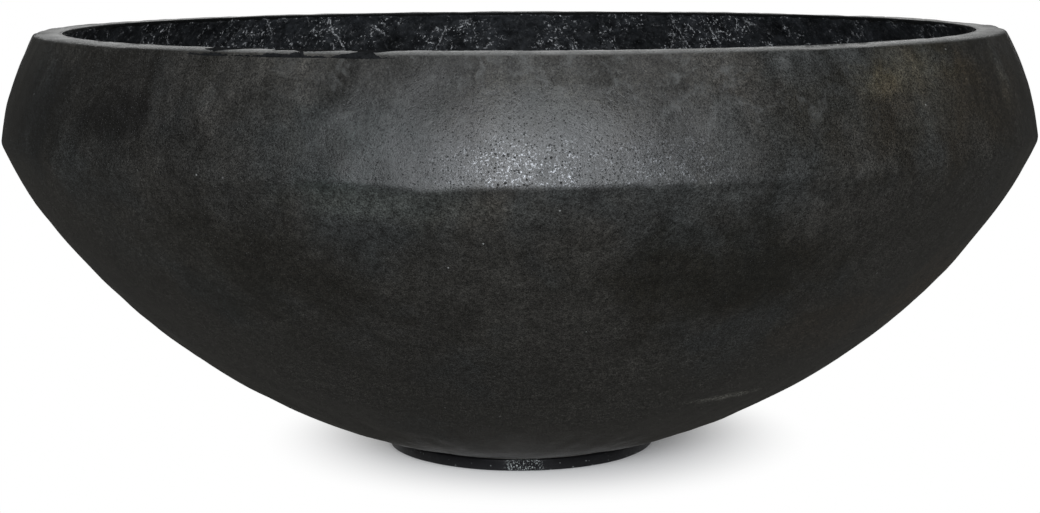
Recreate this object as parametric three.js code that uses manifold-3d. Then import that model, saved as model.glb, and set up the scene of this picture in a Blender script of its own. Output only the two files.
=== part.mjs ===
// Concrete bowl planter: a round concrete bowl with an in-turned band above its crease and a flat rim.
// A black waterproof coat lines it. A separately cast foot is bonded under it on a mortar bed and
// stands on four rubber pads. A sleeve cast into the floor drains it, closed by a rubber stopper.
// Millimetres, +Z up. The origin is on the ground, on the bowl's axis.
import * as THREE from "three";
import { mergeVertices } from "three/addons/utils/BufferGeometryUtils.js";
import Module from "manifold-3d";

// Overall sizes
const keelDiameter = 1220; // over the crease, the widest point
const overallHeight = 508; // ground to rim

// Bowl outside
const keelHeight = 386; // ground to the crease
const keelLeanBelow = 66.5; // degrees from level, just under the crease
const bandLeanAtKeel = 8.3; // degrees from upright, just over the crease
const bandLeanAtRim = 29.5; // degrees from upright, at the rim
const keelEasing = 15; // how far the rounding of the crease reaches along each side
const footLean = 14; // degrees from level, where the bowl leaves the foot
const fullnessAtKeel = 0.375; // the curve's handles, as shares of the chord from foot to crease
const fullnessAtFoot = 0.255;
const rimOuterEasing = 5;
const rimInnerEasing = 3;

// Bowl walls
const bandWall = 29;
const bowlWall = 26;
const floorThickness = 28;
const innerKeelEasing = 40;
const floorEasing = 70;

// Foot
const footDiameter = 326;
const footRingHeight = 11.4;
const footEdgeEasing = 2.5;
const bedThickness = 2;
const bedSetback = 5; // the bed stops this far inside both edges of the foot
const spigotDiameter = 112; // boss under the bowl that centres the foot
const spigotDrop = 5;
const spigotClearance = 1;

// Rubber pads
const padCount = 4;
const padDiameter = 40;
const padPocketDepth = 4;
const padProud = 2; // what the pads stand out below the foot
const padEasing = 1.5;

// Drain
const drainBore = 46;
const sleeveWall = 4;
const sleeveFlangeWidth = 10; // from the sleeve's outside to the flange's edge
const sleeveFlangeThickness = 3;
const sleeveRibWidth = 4; // anchor rib, cast into the floor
const sleeveRibHeight = 4;
const dripEdge = 2; // what the sleeve stands out below the spigot
const plugBodyLength = 22;
const plugTaper = 2.5; // lost from the radius, top to bottom
const plugRibHeight = 3;
const plugRibPlaces = [0.45, 0.75]; // each rib's foot, as a share of the body's length
const plugRibRelief = 1; // from the ribs' crests down to the body, on the radius
const plugTipChamfer = 2;
const plugCapOverlap = 5; // from the bore to the cap's edge
const plugCapThickness = 4;
const plugNeckDiameter = 15;
const plugNeckHeight = 7;
const plugKnobDiameter = 26;
const plugKnobHeight = 11;
const plugKnobUndercut = 60; // degrees below level where the knob's outline leaves the neck
const plugEasing = 1.5;
const plugCapLip = 0.5;

// Waterproof coat
const coatThickness = 2;
const coatBelowRim = 3.5;
const coatFlangeLap = 6; // how far the coat laps over the sleeve's flange

// Clearances
const seatGap = 0.3; // between pieces that seat on each other
const plugClearance = 0.4; // radial, between the stopper's ribs and the bore

// Facets
const bowlSegments = 60;
const smallSegments = 32;

// Derived places, all heights over the ground
const footBottom = padProud;
const footTop = footBottom + footRingHeight;
const bedBottom = footTop + seatGap;
const bedTop = bedBottom + bedThickness;
const seatHeight = bedTop + seatGap; // flat underside of the bowl
const floorTop = seatHeight + floorThickness;
const keelRadius = keelDiameter / 2;
const footRadius = footDiameter / 2;
const spigotRadius = spigotDiameter / 2;
const spigotBottom = seatHeight - spigotDrop;
const footBoreRadius = spigotRadius + spigotClearance;
const padCircleRadius = (footBoreRadius + footRadius) / 2; // the pads lie mid-way across the foot
const boreRadius = drainBore / 2;
const sleeveRadius = boreRadius + sleeveWall;
const flangeRadius = sleeveRadius + sleeveFlangeWidth;
const ribRadius = sleeveRadius + sleeveRibWidth;
const ribMiddle = (spigotBottom + floorTop) / 2;
const sleeveBottom = spigotBottom - dripEdge;

const wasm = await Module();
wasm.setup();

const point = (radius, height) => new THREE.Vector2(radius, height);

// Unit vector at an angle from level, in degrees.
function direction(degrees) {
  const angle = THREE.MathUtils.degToRad(degrees);
  return point(Math.cos(angle), Math.sin(angle));
}

const along = (start, heading, distance) => start.clone().addScaledVector(heading, distance);

// Where two lines meet, each given by a point and a heading.
function meeting(startA, headingA, startB, headingB) {
  const between = startB.clone().sub(startA);
  const distance = between.cross(headingB) / headingA.cross(headingB);
  return along(startA, headingA, distance);
}

// A rounded corner from one line to another, without its first point.
function easing(start, startHeading, end, endHeading, steps) {
  const corner = meeting(start, startHeading, end, endHeading);
  return new THREE.QuadraticBezierCurve(start, corner, end).getPoints(steps).slice(1);
}

// The part of an arc between two angles from level, without its first point.
function arcPoints(centre, radius, fromDegrees, toDegrees, steps) {
  const points = [];
  for (let i = 1; i <= steps; i++) {
    const degrees = THREE.MathUtils.lerp(fromDegrees, toDegrees, i / steps);
    points.push(along(centre, direction(degrees), radius));
  }
  return points;
}

// A polyline moved sideways: to its left, looking along it.
function offsetLine(points, distance) {
  return points.map((here, i) => {
    const before = points[Math.max(i - 1, 0)];
    const after = points[Math.min(i + 1, points.length - 1)];
    const into = here.clone().sub(before);
    const outOf = after.clone().sub(here);
    const heading = into.normalize().add(outOf.normalize()).normalize();
    const first = outOf.lengthSq() ? outOf : into;
    const stretch = 1 / Math.max(Math.abs(heading.dot(first)), 0.5);
    return point(here.x - heading.y * distance * stretch, here.y + heading.x * distance * stretch);
  });
}

// A solid of revolution from a profile listed anticlockwise, with the radius to the right and height up.
// A ring's profile is closed here, and a profile that starts and ends on the axis stays open.
function revolve(profile, segments) {
  const first = profile[0];
  const onAxis = first.x === 0;
  const points = onAxis ? profile : [...profile, first.clone()];
  return new THREE.LatheGeometry(points, segments).rotateX(Math.PI / 2);
}

function solidOf(geometry) {
  const bare = geometry.clone();
  bare.deleteAttribute("normal");
  bare.deleteAttribute("uv");
  const merged = mergeVertices(bare, 1e-4);
  return new wasm.Manifold(
    new wasm.Mesh({
      numProp: 3,
      vertProperties: merged.attributes.position.array,
      triVerts: new Uint32Array(merged.index.array),
    }),
  );
}

function geometryOf(solid) {
  const mesh = solid.getMesh();
  const geometry = new THREE.BufferGeometry();
  geometry.setAttribute("position", new THREE.BufferAttribute(mesh.vertProperties, 3));
  geometry.setIndex(new THREE.BufferAttribute(mesh.triVerts, 1));
  return geometry;
}

// The outside of the bowl below its crease, from the foot up to the sharp corner that is then eased.
const keelHeadingBelow = direction(keelLeanBelow);
const keelHeadingAbove = direction(90 + bandLeanAtKeel);
const keelLoss =
  (keelEasing * keelHeadingBelow.x * -keelHeadingAbove.x) / (keelHeadingBelow.x - keelHeadingAbove.x);
const keelCorner = point(keelRadius + keelLoss, keelHeight);
const footCorner = point(footRadius, seatHeight);
const bowlChord = keelCorner.distanceTo(footCorner);
const lowerCurve = new THREE.CubicBezierCurve(
  footCorner,
  along(footCorner, direction(footLean), fullnessAtFoot * bowlChord),
  along(keelCorner, keelHeadingBelow, -fullnessAtKeel * bowlChord),
  keelCorner,
);

// The band is an arc. Its centre is where its lean at the crease and at the rim put it.
const sine = (degrees) => Math.sin(THREE.MathUtils.degToRad(degrees));
const bandRise = overallHeight - keelHeight;
const bandRadius = bandRise / (sine(bandLeanAtRim) - sine(bandLeanAtKeel));
const bandCentre = along(keelCorner, direction(bandLeanAtKeel), -bandRadius);
const innerBandRadius = bandRadius - bandWall;

// The lean of an arc about the band's centre at a given height.
function leanAtHeight(radius, height) {
  return THREE.MathUtils.radToDeg(Math.asin((height - bandCentre.y) / radius));
}

function outerProfile() {
  const keelCut = 1 - keelEasing / lowerCurve.getLength();
  const lower = [];
  const lowerSteps = 9;
  for (let i = 0; i <= lowerSteps; i++) lower.push(lowerCurve.getPointAt((keelCut * i) / lowerSteps));
  const keelStart = lower[lower.length - 1];
  const keelStartHeading = lowerCurve.getTangentAt(keelCut);
  const bandStartLean = bandLeanAtKeel + THREE.MathUtils.radToDeg(keelEasing / bandRadius);
  const bandStart = along(bandCentre, direction(bandStartLean), bandRadius);
  const rimCorner = along(bandCentre, direction(leanAtHeight(bandRadius, overallHeight)), bandRadius);
  const bandEndLean = bandLeanAtRim - THREE.MathUtils.radToDeg(rimOuterEasing / bandRadius);
  const bandEnd = along(bandCentre, direction(bandEndLean), bandRadius);
  const rimStart = point(rimCorner.x - rimOuterEasing, overallHeight);
  return [
    ...lower,
    ...easing(keelStart, keelStartHeading, bandStart, direction(90 + bandStartLean), 4),
    ...arcPoints(bandCentre, bandRadius, bandStartLean, bandEndLean, 5),
    ...easing(bandEnd, direction(90 + bandEndLean), rimStart, direction(180), 3),
  ];
}

// The inside of the bowl from the rim down to the flat floor.
function innerProfile() {
  const rimCorner = along(
    bandCentre,
    direction(leanAtHeight(innerBandRadius, overallHeight)),
    innerBandRadius,
  );
  const rimEnd = point(rimCorner.x + rimInnerEasing, overallHeight);
  const bandTopLean = leanAtHeight(innerBandRadius, overallHeight - rimInnerEasing);
  const bandTop = along(bandCentre, direction(bandTopLean), innerBandRadius);
  const keelLean = bandLeanAtKeel + THREE.MathUtils.radToDeg(innerKeelEasing / bandRadius);
  const bandBottom = along(bandCentre, direction(keelLean), innerBandRadius);

  // Below the crease the inside follows the outside at the wall's thickness.
  const length = lowerCurve.getLength();
  const upperCut = 1 - innerKeelEasing / length;
  const lowerCut = floorEasing / length;
  const wallInside = (place) => {
    const heading = lowerCurve.getTangentAt(place);
    return lowerCurve.getPointAt(place).add(point(-heading.y, heading.x).multiplyScalar(bowlWall));
  };
  const bowlTop = wallInside(upperCut);
  const lower = [];
  const lowerSteps = 7;
  for (let i = 1; i <= lowerSteps; i++) {
    lower.push(wallInside(THREE.MathUtils.lerp(upperCut, lowerCut, i / lowerSteps)));
  }
  const bowlBottom = lower[lower.length - 1];
  const bottomHeading = lowerCurve.getTangentAt(lowerCut).negate();
  const floorCorner = meeting(bowlBottom, bottomHeading, point(0, floorTop), direction(0));
  const floorEdge = point(floorCorner.x - bowlBottom.distanceTo(floorCorner), floorTop);
  return [
    rimEnd,
    ...easing(rimEnd, direction(180), bandTop, direction(90 + bandTopLean), 2),
    ...arcPoints(bandCentre, innerBandRadius, bandTopLean, keelLean, 3),
    ...easing(bandBottom, direction(90 + keelLean), bowlTop, lowerCurve.getTangentAt(upperCut), 3),
    ...lower,
    ...easing(bowlBottom, bottomHeading, floorEdge, direction(180), 3),
  ];
}

const outside = outerProfile();
const inside = innerProfile();

function bowlShell() {
  const hole = sleeveRadius + seatGap;
  const groove = ribRadius + seatGap;
  const rebate = flangeRadius + seatGap;
  const grooveHalf = sleeveRibHeight / 2 + seatGap;
  const rebateFloor = floorTop - sleeveFlangeThickness - seatGap;
  return revolve(
    [
      point(hole, spigotBottom),
      point(spigotRadius, spigotBottom),
      point(spigotRadius, seatHeight),
      ...outside,
      ...inside,
      point(rebate, floorTop),
      point(rebate, rebateFloor),
      point(hole, rebateFloor),
      point(hole, ribMiddle + grooveHalf),
      point(groove, ribMiddle + grooveHalf),
      point(groove, ribMiddle - grooveHalf),
      point(hole, ribMiddle - grooveHalf),
    ],
    bowlSegments,
  );
}

// The coat lies on the inside of the bowl, below the rim, and laps over the sleeve's flange.
function innerCoating() {
  const edgeHeight = overallHeight - coatBelowRim;
  const edgeLean = leanAtHeight(innerBandRadius, edgeHeight);
  const top = along(bandCentre, direction(edgeLean), innerBandRadius);
  const coatEdge = point(flangeRadius - coatFlangeLap, floorTop);
  const covered = [top, ...inside.filter((p) => p.y < edgeHeight), coatEdge];
  const back = offsetLine(covered, -seatGap);
  const face = offsetLine(covered, -seatGap - coatThickness);
  return revolve([...back.reverse(), ...face], bowlSegments);
}

// The foot is a ring with a pocket for each pad in its underside.
function footRing() {
  const ease = footEdgeEasing;
  const ring = revolve(
    [
      point(footBoreRadius, footBottom),
      point(footRadius - ease, footBottom),
      ...easing(
        point(footRadius - ease, footBottom),
        direction(0),
        point(footRadius, footBottom + ease),
        direction(90),
        3,
      ),
      point(footRadius, footTop - ease / 2),
      point(footRadius - ease / 2, footTop),
      point(footBoreRadius, footTop),
    ],
    bowlSegments,
  );
  let solid = solidOf(ring);
  for (const [x, y] of padPlaces()) {
    const pocket = new THREE.CylinderGeometry(
      padDiameter / 2 + seatGap,
      padDiameter / 2 + seatGap,
      2 * padPocketDepth,
      smallSegments,
    );
    pocket.rotateX(Math.PI / 2).translate(x, y, footBottom);
    solid = solid.subtract(solidOf(pocket));
  }
  return geometryOf(solid);
}

function footBed() {
  return revolve(
    [
      point(footBoreRadius + bedSetback, bedBottom),
      point(footRadius - bedSetback, bedBottom),
      point(footRadius - bedSetback, bedTop),
      point(footBoreRadius + bedSetback, bedTop),
    ],
    bowlSegments,
  );
}

function drainSleeve() {
  const ribHalf = sleeveRibHeight / 2;
  return revolve(
    [
      point(boreRadius, sleeveBottom),
      point(sleeveRadius, sleeveBottom),
      point(sleeveRadius, ribMiddle - ribHalf),
      point(ribRadius, ribMiddle - ribHalf),
      point(ribRadius, ribMiddle + ribHalf),
      point(sleeveRadius, ribMiddle + ribHalf),
      point(sleeveRadius, floorTop - sleeveFlangeThickness),
      point(flangeRadius, floorTop - sleeveFlangeThickness),
      point(flangeRadius, floorTop),
      point(boreRadius, floorTop),
    ],
    smallSegments,
  );
}

// The stopper: a tapered body with two sealing ribs, a cap that rests on the flange, and a pull knob.
function drainPlug() {
  const capBottom = floorTop + seatGap;
  const capTop = capBottom + plugCapThickness;
  const knobBottom = capTop + plugNeckHeight;
  const knobTop = knobBottom + plugKnobHeight;
  const bottom = capBottom - plugBodyLength;
  const sealRadius = boreRadius - plugClearance;
  const bodyTop = sealRadius - plugRibRelief;
  const bodyRadius = (height) => bodyTop - (plugTaper * (capBottom - height)) / plugBodyLength;
  const capRadius = boreRadius + plugCapOverlap;
  const knobRadius = plugKnobDiameter / 2;
  const neckRadius = plugNeckDiameter / 2;
  const profile = [point(0, bottom), point(bodyRadius(bottom) - plugTipChamfer, bottom)];
  profile.push(point(bodyRadius(bottom), bottom + plugTipChamfer));
  for (const share of plugRibPlaces) {
    const ribBottom = bottom + share * plugBodyLength;
    profile.push(
      point(bodyRadius(ribBottom), ribBottom),
      point(sealRadius, ribBottom + plugRibHeight / 2),
      point(bodyRadius(ribBottom + plugRibHeight), ribBottom + plugRibHeight),
    );
  }
  profile.push(
    point(bodyTop, capBottom),
    point(capRadius - plugCapLip, capBottom),
    point(capRadius, capBottom + plugCapLip),
    point(capRadius, capTop - plugEasing),
    point(capRadius - plugEasing, capTop),
    point(neckRadius + plugEasing, capTop),
    point(neckRadius, capTop + plugEasing),
    point(neckRadius, knobBottom),
  );
  // The knob's outline is half an ellipse, cut off where the neck enters it.
  const knobMiddle = knobBottom + plugKnobHeight / 2;
  const knobSteps = 8;
  for (let i = 1; i < knobSteps; i++) {
    const heading = direction(THREE.MathUtils.lerp(-plugKnobUndercut, 90, i / knobSteps));
    profile.push(point(knobRadius * heading.x, knobMiddle + (plugKnobHeight / 2) * heading.y));
  }
  profile.push(point(0, knobTop));
  return revolve(profile, smallSegments);
}

function padPlaces() {
  const places = [];
  for (let i = 0; i < padCount; i++) {
    const angle = (2 * Math.PI * (i + 0.5)) / padCount;
    places.push([padCircleRadius * Math.cos(angle), padCircleRadius * Math.sin(angle)]);
  }
  return places;
}

function footPad() {
  const radius = padDiameter / 2;
  const top = padProud + padPocketDepth - seatGap;
  return revolve(
    [
      point(0, 0),
      point(radius - padEasing, 0),
      point(radius, padEasing),
      point(radius, top),
      point(0, top),
    ],
    smallSegments,
  );
}

const material = (color, roughness) => new THREE.MeshStandardMaterial({ color, roughness, metalness: 0 });

const planter = new THREE.Group();

function addPiece(name, geometry, finish) {
  const mesh = new THREE.Mesh(geometry, finish);
  mesh.name = name;
  planter.add(mesh);
  return mesh;
}

addPiece("bowl_shell", bowlShell(), material(0x3d3f3f, 0.55));
addPiece("inner_coating", innerCoating(), material(0x141615, 0.35));
addPiece("foot_ring", footRing(), material(0x17191a, 0.4));
addPiece("foot_bed", footBed(), material(0x6f6f6b, 0.9));
addPiece("drain_sleeve", drainSleeve(), material(0x2a2b2c, 0.5));
addPiece("drain_plug", drainPlug(), material(0x1a1a1a, 0.7));
padPlaces().forEach(([x, y], i) => {
  addPiece(`foot_pad_${i + 1}`, footPad(), material(0x101010, 0.8)).position.set(x, y, 0);
});

export default planter;
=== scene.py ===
"""Looks of the concrete bowl planter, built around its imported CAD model.

Metres, +Z up, the origin on the ground on the bowl's axis. The camera looks along +Y.
"""

import math

import bpy
import numpy as np
from mathutils import Matrix, Vector


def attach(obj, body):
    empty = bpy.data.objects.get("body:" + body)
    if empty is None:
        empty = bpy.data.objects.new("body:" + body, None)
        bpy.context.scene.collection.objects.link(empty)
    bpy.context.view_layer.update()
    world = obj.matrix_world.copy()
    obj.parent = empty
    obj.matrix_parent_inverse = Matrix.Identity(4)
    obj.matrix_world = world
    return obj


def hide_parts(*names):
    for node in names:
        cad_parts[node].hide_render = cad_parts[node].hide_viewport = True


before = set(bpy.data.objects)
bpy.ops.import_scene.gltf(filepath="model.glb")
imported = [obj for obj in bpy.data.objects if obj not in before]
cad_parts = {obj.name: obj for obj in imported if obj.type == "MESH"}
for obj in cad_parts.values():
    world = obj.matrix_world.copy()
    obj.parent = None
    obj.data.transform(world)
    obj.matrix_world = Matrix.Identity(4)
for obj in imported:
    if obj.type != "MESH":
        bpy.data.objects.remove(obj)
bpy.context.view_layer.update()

# ---------------------------------------------------------------- sizes, as in the CAD model
KEEL_RADIUS = 0.610
RIM_HEIGHT = 0.508
KEEL_HEIGHT = 0.386
KEEL_LEAN_BELOW = 66.5
BAND_LEAN_AT_KEEL = 8.3
BAND_LEAN_AT_RIM = 29.5
KEEL_EASING = 0.015
FOOT_LEAN = 14.0
FULLNESS_AT_KEEL = 0.375
FULLNESS_AT_FOOT = 0.255
BAND_WALL = 0.029
BOWL_WALL = 0.026
FLOOR_TOP = 0.044
FOOT_RADIUS = 0.163
FOOT_BORE = 0.057
FOOT_BOTTOM = 0.002
FOOT_TOP = 0.0134
SEAT_HEIGHT = 0.016
SPIGOT_RADIUS = 0.056
SPIGOT_BOTTOM = 0.011
SPIGOT_CHAMFER = 0.001
COAT_THICKNESS = 0.002
SEAT_GAP = 0.0003
PAD_RADIUS = 0.020
PAD_TOP = 0.0057
PAD_PLACE = 0.0777817
BORE_RADIUS = 0.023
SLEEVE_RADIUS = 0.027
FLANGE_RADIUS = 0.037
FLANGE_THICKNESS = 0.003
RIB_RADIUS = 0.031
RIB_MIDDLE = 0.0275
RIB_HALF_HEIGHT = 0.002
SLEEVE_BOTTOM = 0.009

RIM_OUTER_EASING = 0.005
RIM_INNER_EASING = 0.003
INNER_CREASE_REACH = 0.040  # the wall's inside bends over this length on either side of the crease
FLOOR_REACH = 0.070  # and turns into the floor over this length
PAD_CIRCLE = PAD_PLACE * math.sqrt(2)

# The cast crease is crisper than the CAD's, and lies within it.
CREASE_EASING = 0.005
CREASE_WAVES = ((-31.0, 11.0, 0.0040), (-18.5, 4.5, 0.0018), (-8.0, 4.0, -0.0030))  # azimuth, width, rise

# ---------------------------------------------------------------- camera
CAMERA_PLACE = (-0.0003, -2.4356, 0.6085)
CAMERA_PITCH = 8.885  # degrees down
CAMERA_ROLL = -0.25
CAMERA_LENS = 69.60


def show(obj):
    bpy.context.scene.collection.objects.link(obj)


camera_data = bpy.data.cameras.new("camera")
camera_data.sensor_width = 36.0
camera_data.lens = CAMERA_LENS
camera_data.clip_end = 60.0
camera = bpy.data.objects.new("camera", camera_data)
show(camera)
camera.matrix_world = (
    Matrix.Translation(CAMERA_PLACE)
    @ Matrix.Rotation(math.radians(90.0 - CAMERA_PITCH), 4, "X")
    @ Matrix.Rotation(math.radians(CAMERA_ROLL), 4, "Z")
)
bpy.context.scene.camera = camera
bpy.context.scene.view_settings.view_transform = "Standard"


# ---------------------------------------------------------------- outlines: (radius, height)
def heading(degrees):
    angle = math.radians(degrees)
    return np.array([math.cos(angle), math.sin(angle)])


def meeting(a, along_a, b, along_b):
    between = b - a
    cross = along_a[0] * along_b[1] - along_a[1] * along_b[0]
    return a + along_a * (between[0] * along_b[1] - between[1] * along_b[0]) / cross


def easing(a, along_a, b, along_b, steps):
    corner = meeting(a, along_a, b, along_b)
    t = np.linspace(0, 1, steps + 1)[1:, None]
    return (1 - t) ** 2 * a + 2 * t * (1 - t) * corner + t**2 * b


def arc(centre, radius, first, last, steps):
    turn = np.radians(np.linspace(first, last, steps + 1)[1:])
    return centre + radius * np.stack([np.cos(turn), np.sin(turn)], 1)


def length_along(line):
    return np.concatenate([[0], np.cumsum(np.linalg.norm(np.diff(line, axis=0), axis=1))])


def headings_of(line):
    step = np.gradient(line, axis=0)
    return step / np.maximum(np.linalg.norm(step, axis=1, keepdims=True), 1e-9)


def left_of(way):
    return np.stack([-way[..., 1], way[..., 0]], -1)


def moved(line, offset):
    """The line moved to its left by offset."""
    return line + offset * left_of(headings_of(line)) if offset else line


below, above = heading(KEEL_LEAN_BELOW), heading(90 + BAND_LEAN_AT_KEEL)
keel_loss = KEEL_EASING * below[0] * -above[0] / (below[0] - above[0])
keel_corner = np.array([KEEL_RADIUS + keel_loss, KEEL_HEIGHT])
foot_corner = np.array([FOOT_RADIUS, SEAT_HEIGHT])
chord = np.linalg.norm(keel_corner - foot_corner)
handles = [
    foot_corner,
    foot_corner + heading(FOOT_LEAN) * FULLNESS_AT_FOOT * chord,
    keel_corner - below * FULLNESS_AT_KEEL * chord,
    keel_corner,
]
band_radius = (RIM_HEIGHT - KEEL_HEIGHT) / (
    math.sin(math.radians(BAND_LEAN_AT_RIM)) - math.sin(math.radians(BAND_LEAN_AT_KEEL))
)
band_centre = keel_corner - heading(BAND_LEAN_AT_KEEL) * band_radius


def lower_curve(t):
    t = np.asarray(t, float)[..., None]
    a, b, c, d = handles
    return (1 - t) ** 3 * a + 3 * t * (1 - t) ** 2 * b + 3 * t**2 * (1 - t) * c + t**3 * d


lower_shares = np.linspace(0, 1, 2001)
lower_lengths = length_along(lower_curve(lower_shares))
LOWER_LENGTH = float(lower_lengths[-1])


def lower_at(distance):
    return lower_curve(np.interp(distance, lower_lengths, lower_shares))


def lower_heading(distance):
    step = lower_at(np.asarray(distance) + 1e-4) - lower_at(np.asarray(distance) - 1e-4)
    return step / np.linalg.norm(step, axis=-1, keepdims=True)


def lean_at(radius, height):
    return math.degrees(math.asin((height - band_centre[1]) / radius))


def inner_wall(distance):
    return lower_at(distance) + BOWL_WALL * left_of(lower_heading(distance))


def outer_outline():
    """From the foot's corner up over the crease and the band to the rim's flat."""
    edge = np.array([[FOOT_RADIUS - 0.003, SEAT_HEIGHT], [FOOT_RADIUS - 0.0005, SEAT_HEIGHT + 0.0003]])
    end = LOWER_LENGTH - CREASE_EASING
    by_foot = [0.0025, 0.005, 0.009]
    by_crease = end - np.array([0.022, 0.015, 0.009, 0.005, 0.002])
    stops = np.concatenate([by_foot, np.linspace(0.016, end - 0.03, 40), by_crease])
    start, start_heading = lower_at(end), lower_heading(end)
    first = BAND_LEAN_AT_KEEL + math.degrees(CREASE_EASING / band_radius)
    last = BAND_LEAN_AT_RIM - math.degrees(RIM_OUTER_EASING / band_radius)
    band_start = band_centre + heading(first) * band_radius
    band_end = band_centre + heading(last) * band_radius
    rim_corner = band_centre + heading(lean_at(band_radius, RIM_HEIGHT)) * band_radius
    rim_start = np.array([rim_corner[0] - RIM_OUTER_EASING, RIM_HEIGHT])
    keel = easing(start, start_heading, band_start, heading(90 + first), 12)
    return np.concatenate(
        [
            edge,
            lower_at(stops),
            start[None],
            keel,
            arc(band_centre, band_radius, first, last, 24),
            easing(band_end, heading(90 + last), rim_start, heading(180), 7),
        ]
    )


def inner_outline(band_steps, wall_steps, offset):
    """From the rim's inner edge down to the floor, moved into the bowl by offset."""
    radius = band_radius - BAND_WALL
    corner = band_centre + heading(lean_at(radius, RIM_HEIGHT)) * radius
    top_lean = lean_at(radius, RIM_HEIGHT - RIM_INNER_EASING)
    keel_lean = BAND_LEAN_AT_KEEL + math.degrees(INNER_CREASE_REACH / band_radius)
    rim_end = np.array([corner[0] + RIM_INNER_EASING, RIM_HEIGHT])
    band_top = band_centre + heading(top_lean) * radius
    band_bottom = band_centre + heading(keel_lean) * radius
    upper = LOWER_LENGTH - INNER_CREASE_REACH
    wall = inner_wall(np.linspace(upper, FLOOR_REACH, wall_steps + 1))
    into_floor = -lower_heading(FLOOR_REACH)
    floor_corner = meeting(wall[-1], into_floor, np.array([0.0, FLOOR_TOP]), heading(0))
    floor_edge = np.array([floor_corner[0] - np.linalg.norm(wall[-1] - floor_corner), FLOOR_TOP])
    line = np.concatenate(
        [
            rim_end[None],
            easing(rim_end, heading(180), band_top, heading(90 + top_lean), 6),
            arc(band_centre, radius, top_lean, keel_lean, band_steps),
            easing(band_bottom, heading(90 + keel_lean), wall[0], lower_heading(upper), 12),
            wall[1:],
            easing(wall[-1], into_floor, floor_edge, heading(180), 6),
        ]
    )
    return moved(line, offset)


# ---------------------------------------------------------------- meshes
SHARP_ANGLE = math.radians(40)


def ripples(seed, turn, along, shortest, longest, count=40):
    """A smooth random field over a lathe's surface, seamless round it, with a spread of 1."""
    dice = np.random.RandomState(seed)
    total = np.zeros(np.broadcast(turn, along).shape)
    for _ in range(count):
        wave = math.exp(dice.uniform(math.log(shortest), math.log(longest)))
        way = dice.uniform(0, math.pi)
        around = round(2 * math.pi / wave * math.cos(way) * 0.6)
        rise = 2 * math.pi / wave * math.sin(way)
        total += np.cos(around * turn + rise * along + dice.uniform(0, 2 * math.pi))
    return total / math.sqrt(count / 2)


def waves(turn, along, *rows):
    """Ripples added up, from rows of height, seed, shortest, longest and, if need be, count."""
    return sum(height * ripples(seed, turn, along, *rest) for height, seed, *rest in rows)


def nicks(seed, turn, count, widths, depth):
    """Small dents at random places round an edge, 0 where there is none."""
    dice = np.random.RandomState(seed)
    total = np.zeros_like(turn)
    for _ in range(count):
        place, width = dice.uniform(0, 2 * math.pi), dice.uniform(*widths)
        apart = (turn - place + math.pi) % (2 * math.pi) - math.pi
        total = np.maximum(total, dice.uniform(0.3, 1) * np.exp(-((apart / width) ** 2) * 3))
    return depth * total


def solid(name, points, polygons, material=None, sharp=None):
    """An object with a mesh of its own: faceted, or smooth but for edges sharper than the angle sharp."""
    mesh = bpy.data.meshes.new(name)
    mesh.from_pydata(points, [], polygons)
    if sharp is not None:
        mesh.polygons.foreach_set("use_smooth", [True] * len(mesh.polygons))
        mesh.set_sharp_from_angle(angle=sharp)
    if material is not None:
        mesh.materials.append(material)
    return bpy.data.objects.new(name, mesh)


def link(obj, body, slot, *replaced):
    show(obj)
    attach(obj, body)
    if replaced:
        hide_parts(*replaced)


def lathe(name, line, segments, material, change=None, closed=True, hidden=None):
    """A turned body. line is anticlockwise, radius to the right and height up. change is a function of
    the turn that gives the points' outward and upward moves. hidden marks rows that don't show."""
    turn = np.linspace(0, 2 * math.pi, segments, endpoint=False)[None, :]
    radius = np.repeat(line[:, :1], segments, 1)
    height = np.repeat(line[:, 1:], segments, 1)
    if change is not None:
        outward, upward = change(turn)
        radius, height = radius + outward, height + upward
    rows = len(line)
    corners = np.stack([radius * np.cos(turn), radius * np.sin(turn), height], -1).reshape(-1, 3)
    row = np.arange(rows if closed else rows - 1)[:, None]
    column = np.arange(segments)[None, :]
    after, next_row = (column + 1) % segments, (row + 1) % rows
    faces = np.stack(
        [
            row * segments + column,
            row * segments + after,
            next_row * segments + after,
            next_row * segments + column,
        ],
        -1,
    ).reshape(-1, 4)
    points, polygons = [tuple(p) for p in corners], [tuple(f) for f in faces.tolist()]
    if not closed:  # the ends close on the axis
        for end, ring in ((0, 0), (rows - 1, (rows - 1) * segments)):
            points.append((0.0, 0.0, float(line[end, 1])))
            middle = len(points) - 1
            for i in range(segments):
                a, b = ring + i, ring + (i + 1) % segments
                polygons.append((a, middle, b) if end == 0 else (a, b, middle))
    body = solid(name, points, polygons, material, SHARP_ANGLE)
    if closed:
        lay_out(body.data, line, rows, segments, hidden)
    return body


def running_share(lengths):
    total = np.concatenate([[0], np.cumsum(lengths)])
    return total / total[-1] if total[-1] else total


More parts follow.
